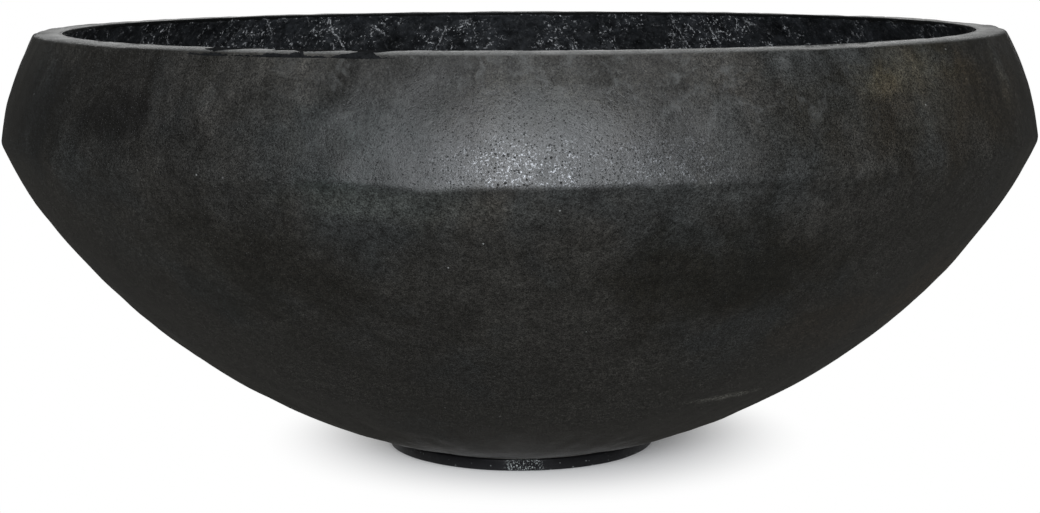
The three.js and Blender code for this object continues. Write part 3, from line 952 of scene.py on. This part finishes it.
def coat():
    inside = inner_outline(46, 44, 0.0)
    inside = inside[inside[:, 1] < RIM_HEIGHT - 0.0022]
    lap = [(0.10, FLOOR_TOP), (0.07, FLOOR_TOP), (0.05, FLOOR_TOP), (0.036, FLOOR_TOP), (0.031, FLOOR_TOP)]
    inside = np.concatenate([inside, np.array(lap)])
    face = moved(inside, -SEAT_GAP - COAT_THICKNESS + 0.0004)
    back = moved(inside, -SEAT_GAP)[::-4]
    line = np.concatenate([back, face])
    count = len(back)
    along = length_along(line)[:, None]
    normal = -left_of(headings_of(line))
    rows = np.arange(len(line))[:, None]
    shown = (rows >= count + 1) & (rows < len(line) - 3)
    top = np.exp(-(((along - along[count]) / 0.006) ** 2)) * (rows >= count - 1)

    def change(turn):
        depth = waves(turn, along, (0.0005, 21, 0.05, 0.2), (0.00035, 22, 0.012, 0.05, 60))
        off_floor = np.clip((line[:, :1] - 0.12) / 0.26, 0, 1)
        depth = np.clip(depth, -0.0012, 0.0018) * shown * off_floor
        outward, upward = depth * normal[:, :1], depth * normal[:, 1:]
        ragged = 0.0009 * ripples(23, turn, 0 * along, 0.01, 0.15) - 0.0008
        upward = upward + np.clip(ragged, -0.004, 0.0008) * top
        return outward, upward

    return lathe("waterproof_coat", line, 800, COAT, change, hidden=np.arange(0, count))


link(coat(), "planter", "black_coating", "inner_coating")


def lap_coat():
    s = Surface("lap_coat", 0.0, 0.9)
    tone = s.about(s.noise(s.place, 260, 4, 0.7), 2.5)
    s.colour(s.shaded((0.0095, 0.0100, 0.0106), tone))
    return s.material


LAP_ROWS = 14
LAP_SINK, LAP_DEPTH = 0.00003, 0.0006  # the skins' tops and undersides below the rim's outline


def rim_laps():
    """Brush strokes of the coat that run over the rim, as thin skins between the slivers left clear."""
    outside, inside = outer_outline(), inner_outline(6, 7, 0.0)
    flat = np.linspace(inside[0], outside[-1], 12)[1:-1]
    path = np.concatenate([inside[:6][::-1], flat, outside[-12:][::-1]])
    travel = length_along(path)
    start, end = travel[5], travel[-12]
    points, polygons = [], []

    def at(seen):
        distance = np.interp(seen, (-1.0, 0.0, 1.5, 5.5), (start - 0.0045, start, end, end + 0.012))
        here = np.array([np.interp(distance, travel, path[:, i]) for i in (0, 1)])
        near = np.array([np.interp(distance + d, travel, path[:, i]) for d in (-3e-4, 3e-4) for i in (0, 1)])
        ahead = near[2:] - near[:2]
        return here, left_of(ahead) / max(np.linalg.norm(ahead), 1e-9)

    def skin(azimuths, first, last):
        base = len(points)
        for azimuth, low, high in zip(azimuths, first, last):
            turn = math.radians(azimuth)
            rows = [at(low + (high - low) * i / (LAP_ROWS - 1)) for i in range(LAP_ROWS)]
            loop = [here - LAP_SINK * up for here, up in rows]
            loop += [here - LAP_DEPTH * up for here, up in rows[::-1]]
            for r, z in loop:
                points.append((r * math.sin(turn), -r * math.cos(turn), min(z, RIM_HEIGHT - LAP_SINK)))
        ring = 2 * LAP_ROWS
        for step in range(len(azimuths) - 1):
            a, b = base + step * ring, base + (step + 1) * ring
            polygons.extend((a + i, b + i, b + (i + 1) % ring, a + (i + 1) % ring) for i in range(ring))
        last_ring = base + (len(azimuths) - 1) * ring
        polygons.append(tuple(base + i for i in range(ring)))
        polygons.append(tuple(last_ring + i for i in reversed(range(ring))))

    def fray(azimuths, seed):
        return 0.2 * ripples(seed, np.radians(azimuths) * 0.55 / 0.6, 0 * azimuths, 0.002, 0.03)

    low, high = -1.0, 5.2
    azimuths = np.linspace(SLIVERS[0][0], SLIVERS[-1][0], 300)
    place, inner, outer = (np.array(column) for column in zip(*SLIVERS))
    shape = np.minimum(1, 3 * np.minimum(azimuths - azimuths[0], azimuths[-1] - azimuths))
    inner = np.interp(azimuths, place, inner) + shape * fray(azimuths, 51)
    outer = np.maximum(np.interp(azimuths, place, outer) + shape * fray(azimuths, 52), inner + 0.02)
    edge = np.interp(azimuths, place, [5.0 if o > 4.6 else high for _, _, o in SLIVERS])
    skin(azimuths, np.full_like(azimuths, low), np.maximum(inner, low + 0.03))
    skin(azimuths, np.minimum(outer, edge - 0.03), edge)
    return solid("rim_laps", points, polygons, lap_coat(), math.radians(50))


link(rim_laps(), "planter", "black_coating")


# ---------------------------------------------------------------- the foot
def rounded(line, ease, steps=4):
    """The corners of a closed outline eased by ease, or by its own number for each corner."""
    line = np.asarray(line, float)
    sizes = np.broadcast_to(ease, len(line))
    made = []
    for i, (corner, size) in enumerate(zip(line, sizes)):
        into = corner - line[i - 1]
        out = line[(i + 1) % len(line)] - corner
        into, out = into / np.linalg.norm(into), out / np.linalg.norm(out)
        if size <= 0:
            made.append(corner[None])
            continue
        made.append((corner - into * size)[None])
        made.append(easing(corner - into * size, into, corner + out * size, out, steps))
    return np.concatenate(made)


def between(line, longest):
    """More points on the long sides of a closed outline."""
    made = []
    for i, here in enumerate(line):
        after = line[(i + 1) % len(line)]
        count = max(1, math.ceil(np.linalg.norm(after - here) / longest))
        made.append(here + (after - here) * np.linspace(0, 1, count, endpoint=False)[:, None])
    return np.concatenate(made)


def foot():
    outline = [
        (FOOT_BORE, FOOT_BOTTOM + 0.0002),
        (FOOT_RADIUS - 0.012, FOOT_BOTTOM + 0.0002),
        (FOOT_RADIUS - 0.007, FOOT_BOTTOM - 0.0014),
        (FOOT_RADIUS - 0.0002, FOOT_BOTTOM - 0.0014),
        (FOOT_RADIUS - 0.0002, FOOT_TOP - 0.0001),
        (FOOT_BORE, FOOT_TOP - 0.0001),
    ]
    line = between(rounded(outline, (0.001, 0.0008, 0.0008, 0.0008, 0.0010, 0.001), 5), 0.002)
    outer = (line[:, :1] > FOOT_RADIUS - 0.004).astype(float)
    along = length_along(line)[:, None]
    lower = np.exp(-(((line[:, 1:] - FOOT_BOTTOM) / 0.003) ** 2)) * outer

    def change(turn):
        depth = 0.0003 * ripples(31, turn, along * 0.3, 0.1, 0.4)
        depth = depth + 0.00004 * ripples(32, turn, along, 0.01, 0.03)
        depth = np.clip(depth - 0.0002, -0.0012, 0) * outer
        depth = depth - lower * nicks(33, turn, 26, (0.008, 0.03), 0.0006)
        return depth, 0 * depth

    return lathe("foot_coated", line, 400, FOOT, change)


def simple_ring(name, outline, eases, segments, material, longest=0.004):
    return lathe(name, between(rounded(outline, eases), longest), segments, material)


def pad_centre(quarter):
    turn = math.pi / 4 + quarter * math.pi / 2
    return PAD_CIRCLE * np.array([math.cos(turn), math.sin(turn)])


PAD_SIDES = 96
POCKET_DEPTH = 0.004


def pockets():
    """Cutters for the pads' pockets in the foot's underside."""
    reach = PAD_RADIUS + SEAT_GAP
    points, polygons = [], []
    for quarter in range(4):
        x, y = pad_centre(quarter)
        turns = np.linspace(0, 2 * math.pi, PAD_SIDES, endpoint=False)
        ring = [(x + reach * math.cos(turn), y + reach * math.sin(turn)) for turn in turns]
        base, top = len(points), len(points) + PAD_SIDES
        points += [(*spot, height) for height in (-0.01, FOOT_BOTTOM + POCKET_DEPTH) for spot in ring]
        polygons.append(tuple(base + i for i in reversed(range(PAD_SIDES))))
        polygons.append(tuple(top + i for i in range(PAD_SIDES)))
        for i in range(PAD_SIDES):
            after = (i + 1) % PAD_SIDES
            polygons.append((base + i, base + after, top + after, top + i))
    return solid("pockets", points, polygons)


def cut_away(piece, cutter):
    """piece, which this puts into the scene, without what cutter fills."""
    show(cutter)
    show(piece)
    cut = piece.modifiers.new("cut", "BOOLEAN")
    cut.operation, cut.object, cut.solver = "DIFFERENCE", cutter, "EXACT"
    bpy.context.view_layer.update()
    seen = piece.evaluated_get(bpy.context.evaluated_depsgraph_get())
    left = bpy.data.meshes.new_from_object(seen)
    piece.modifiers.remove(cut)
    piece.data = left
    left.set_sharp_from_angle(angle=SHARP_ANGLE)
    bpy.data.objects.remove(cutter)


foot_piece = foot()
cut_away(foot_piece, pockets())
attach(foot_piece, "planter")
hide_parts("foot_ring")


bed_inner, bed_outer = FOOT_BORE + 0.005, FOOT_RADIUS - 0.005
bed_bottom, bed_top = FOOT_TOP + 0.0004, SEAT_HEIGHT - 0.0004
bed = simple_ring(
    "mortar_bed",
    [(bed_inner, bed_bottom), (bed_outer, bed_bottom), (bed_outer, bed_top), (bed_inner, bed_top)],
    0.0006,
    300,
    MORTAR,
    0.01,
)
link(bed, "planter", "mortar", "foot_bed")

pad_ease = 0.0016
ease_start, ease_end = np.array([PAD_RADIUS - pad_ease, 0.0]), np.array([PAD_RADIUS, pad_ease])
pad_profile = np.concatenate(
    [
        np.array([(0.004, 0.0), ease_start]),
        easing(ease_start, heading(0), ease_end, heading(90), 5),
        np.array([(PAD_RADIUS, PAD_TOP - 0.0004), (PAD_RADIUS - 0.0004, PAD_TOP), (0.004, PAD_TOP)]),
    ]
)
for quarter in range(4):
    pad = lathe(f"rubber_pad_{quarter + 1}", pad_profile, PAD_SIDES, PAD, closed=False)
    pad.data.transform(Matrix.Translation((*pad_centre(quarter), 0)))
    link(pad, "planter", "pad_rubber", f"foot_pad_{quarter + 1}")


# ---------------------------------------------------------------- the drain
sleeve = simple_ring(
    "sleeve_moulded",
    [
        (BORE_RADIUS, SLEEVE_BOTTOM),
        (SLEEVE_RADIUS, SLEEVE_BOTTOM),
        (SLEEVE_RADIUS, RIB_MIDDLE - RIB_HALF_HEIGHT),
        (RIB_RADIUS, RIB_MIDDLE - RIB_HALF_HEIGHT),
        (RIB_RADIUS, RIB_MIDDLE + RIB_HALF_HEIGHT),
        (SLEEVE_RADIUS, RIB_MIDDLE + RIB_HALF_HEIGHT),
        (SLEEVE_RADIUS, FLOOR_TOP - FLANGE_THICKNESS),
        (FLANGE_RADIUS, FLOOR_TOP - FLANGE_THICKNESS),
        (FLANGE_RADIUS, FLOOR_TOP),
        (BORE_RADIUS, FLOOR_TOP),
    ],
    (0.0008, 0.0008, 0.0003, 0.0006, 0.0006, 0.0003, 0.0004, 0.0004, 0.0008, 0.0012),
    160,
    SLEEVE,
)
link(sleeve, "planter", "sleeve_plastic", "drain_sleeve")


PLUG_LENGTH = 0.022
CAP_THICKNESS = 0.004
CAP_RADIUS = BORE_RADIUS + 0.005
CAP_EASING = 0.0018
NECK_HEIGHT = 0.007
KNOB_RADIUS, KNOB_HALF_HEIGHT = 0.013, 0.0055


def stopper():
    cap_bottom = FLOOR_TOP + SEAT_GAP
    cap_top = cap_bottom + CAP_THICKNESS
    knob_bottom = cap_top + NECK_HEIGHT
    knob_middle = knob_bottom + KNOB_HALF_HEIGHT
    bottom = cap_bottom - PLUG_LENGTH
    seal = BORE_RADIUS - 0.0004

    def body(height):
        return seal - 0.001 - 0.0025 * (cap_bottom - height) / PLUG_LENGTH

    start, end = np.array([body(bottom) - 0.002, bottom]), np.array([body(bottom), bottom + 0.002])
    parts = [np.array([[0.003, bottom], start]), easing(start, heading(0), end, heading(90), 5)]
    for share in (0.45, 0.75):
        low = bottom + share * PLUG_LENGTH
        heights = np.linspace(low, low + 0.003, 9)
        swell = np.sin(np.linspace(0, math.pi, 9))
        parts.append(np.stack([body(heights) + (seal - body(heights)) * swell, heights], 1))
    parts.append(np.array([[body(cap_bottom - 0.001), cap_bottom - 0.001]]))
    parts.append(np.array([[seal - 0.001, cap_bottom], [CAP_RADIUS - 0.0005, cap_bottom]]))
    edge = np.array([CAP_RADIUS, cap_top - CAP_EASING])
    parts.append(np.array([[CAP_RADIUS, cap_bottom + 0.0005], edge]))
    parts.append(easing(edge, heading(90), edge + np.array([-CAP_EASING, CAP_EASING]), heading(180), 5))
    # A shallow dish round the neck.
    dish = np.linspace(BORE_RADIUS + 0.002, 0.0105, 12)
    depth = 0.0006 * np.sin(np.linspace(0, math.pi, 12))
    parts.append(np.stack([dish, cap_top - depth], 1))
    start, end = np.array([0.0095, cap_top]), np.array([0.0075, cap_top + 0.002])
    parts.append(easing(start, heading(180), end, heading(90), 5))
    parts.append(np.array([[0.0073, knob_bottom - 0.001]]))
    turn = np.radians(np.linspace(-60, 86, 26))
    knob = [KNOB_RADIUS * np.cos(turn), knob_middle + KNOB_HALF_HEIGHT * np.sin(turn)]
    parts.append(np.stack(knob, 1))
    line = np.concatenate(parts)

    def change(turn):
        # The mould's parting line, up both sides.
        line_at = np.exp(-((np.sin(turn - 0.6) / 0.03) ** 2))
        return np.where(line[:, :1] > BORE_RADIUS - 0.001, 0, 0.00018) * line_at, 0.0

    return lathe("stopper_rubber", line, 200, STOPPER, change, closed=False)


link(stopper(), "stopper", "stopper_rubber", "drain_plug")


# ---------------------------------------------------------------- floor, world and lamps
def node(tree, kind, *values, output=0, **settings):
    """A shader node's output, with the node's first inputs linked or set."""
    made = tree.nodes.new("ShaderNode" + kind)
    for name, setting in settings.items():
        setattr(made, name, setting)
    for socket, value in zip(made.inputs, values):
        if isinstance(value, bpy.types.NodeSocket):
            tree.links.new(value, socket)
        elif value is not None:
            socket.default_value = value
    return made.outputs[output] if made.outputs else None


def empty_tree(owner):
    owner.use_nodes = True
    owner.node_tree.nodes.clear()
    return owner.node_tree


def grey(level):
    return (level, level, level, 1.0)


def seen_directly(tree):
    """1 for camera, glossy and transmission rays, else 0."""
    rays = tree.nodes.new("ShaderNodeLightPath").outputs
    either = node(tree, "Math", rays["Is Camera Ray"], rays["Is Glossy Ray"], operation="MAXIMUM")
    return node(tree, "Math", either, rays["Is Transmission Ray"], operation="MAXIMUM")


WORLD_LEVEL = 0.25
FLOOR_ALBEDO = 0.4
SHADOW_CENTRE = (0.02, 0.03, 0.0)
SHADOW_REACH = (0.13, 0.345)  # the shadow is full inside the first and gone at the second
SHADOW_SHARE = 0.92
WALL_LEVEL = 0.085
CLOTH_LEVEL = 0.105
CARD_TINT = (1.02, 1.0, 0.93)

world = bpy.data.worlds.new("studio")
bpy.context.scene.world = world
tree = empty_tree(world)
dim, white = (node(tree, "Background", grey(1.0), level) for level in (WORLD_LEVEL, 1.0))
node(tree, "OutputWorld", node(tree, "MixShader", seen_directly(tree), dim, white))

# The floor is white to the camera, apart from the shadow near the planter.
floor_material = bpy.data.materials.new("floor")
tree = empty_tree(floor_material)
paint = node(tree, "BsdfDiffuse", grey(FLOOR_ALBEDO))
lit = node(tree, "BsdfDiffuse", grey(0.97))
glow = node(tree, "Emission", grey(1.0), 1.0)
place = node(tree, "TexCoord", output="Object")
apart = node(tree, "VectorMath", place, SHADOW_CENTRE, output="Value", operation="DISTANCE")
from_axis = node(tree, "VectorMath", place, output="Value", operation="LENGTH")
smooth = {"interpolation_type": "SMOOTHSTEP"}
fade = node(tree, "MapRange", apart, *SHADOW_REACH, 1 - SHADOW_SHARE, 1.0, **smooth)
under = node(tree, "MapRange", from_axis, FOOT_RADIUS - 0.012, FOOT_RADIUS + 0.006, 0.0, 1.0, **smooth)
glowing = node(tree, "Math", fade, under, operation="MULTIPLY")
shown_floor = node(tree, "MixShader", glowing, lit, glow)
node(tree, "OutputMaterial", node(tree, "MixShader", seen_directly(tree), paint, shown_floor))

floor_corners = [(x * 20, y * 20, -0.0002) for x, y in ((-1, -1), (1, -1), (1, 1), (-1, 1))]
floor = solid("floor", floor_corners, [(0, 1, 2, 3)], floor_material)
show(floor)


def softbox(name, place, target, width, depth, radiance, tint=(1.0, 1.0, 1.0)):
    data = bpy.data.lights.new(name, "AREA")
    data.shape = "RECTANGLE"
    data.size, data.size_y = width, depth
    data.energy = radiance * math.pi * width * depth
    data.color = tint
    lamp = bpy.data.objects.new(name, data)
    show(lamp)
    lamp.location = place
    lamp.rotation_euler = (Vector(target) - Vector(place)).to_track_quat("-Z", "Y").to_euler()
    return lamp


# Grey cards that only reflections see: the dim walls of a studio, open at the back, and a cloth on its floor.
def card(name, points, polygons, level):
    material = bpy.data.materials.new(name)
    card_tree = empty_tree(material)
    node(card_tree, "OutputMaterial", node(card_tree, "Emission", (*CARD_TINT, 1.0), level))
    obj = solid(name, points, polygons, material)
    show(obj)
    obj.visible_camera = obj.visible_diffuse = obj.visible_shadow = obj.visible_transmission = False


def grid_faces(rows, columns):
    return [
        (r * columns + t, r * columns + t + 1, (r + 1) * columns + t + 1, (r + 1) * columns + t)
        for r in range(rows - 1)
        for t in range(columns - 1)
    ]


def walls(radius, opening, low, high):
    """A sphere's part from low to high, in degrees, without the sector at the back."""
    turns = np.radians(np.linspace(90 + opening, 450 - opening, 49))
    rises = np.radians(np.linspace(low, high, 13))
    points = [
        (radius * math.cos(r) * math.cos(t), radius * math.cos(r) * math.sin(t), radius * math.sin(r))
        for r in rises
        for t in turns
    ]
    return points, grid_faces(len(rises), len(turns))


def cloth(inner, outer):
    turns = np.linspace(0, 2 * math.pi, 65)
    points = [(r * math.cos(t), r * math.sin(t), 0.0001) for r in (inner, outer) for t in turns]
    return points, grid_faces(2, len(turns))


card("wall_card", *walls(6.0, 25.0, 0.0, 80.0), WALL_LEVEL)
card("floor_card", *cloth(0.185, 5.95), CLOTH_LEVEL)

softbox("front_box", (0.05, -3.4, 1.02), (0.0, -0.5, 0.42), 1.6, 1.2, 19.0, (0.955, 0.985, 1.03))
softbox("overhead", (0.0, -0.2, 3.4), (0, 0, 0), 3.0, 3.0, 1.6)
softbox("back_box", (0.0, 2.5, 2.2), (0.0, 0.3, 0.35), 2.2, 1.2, 9.0).visible_glossy = False
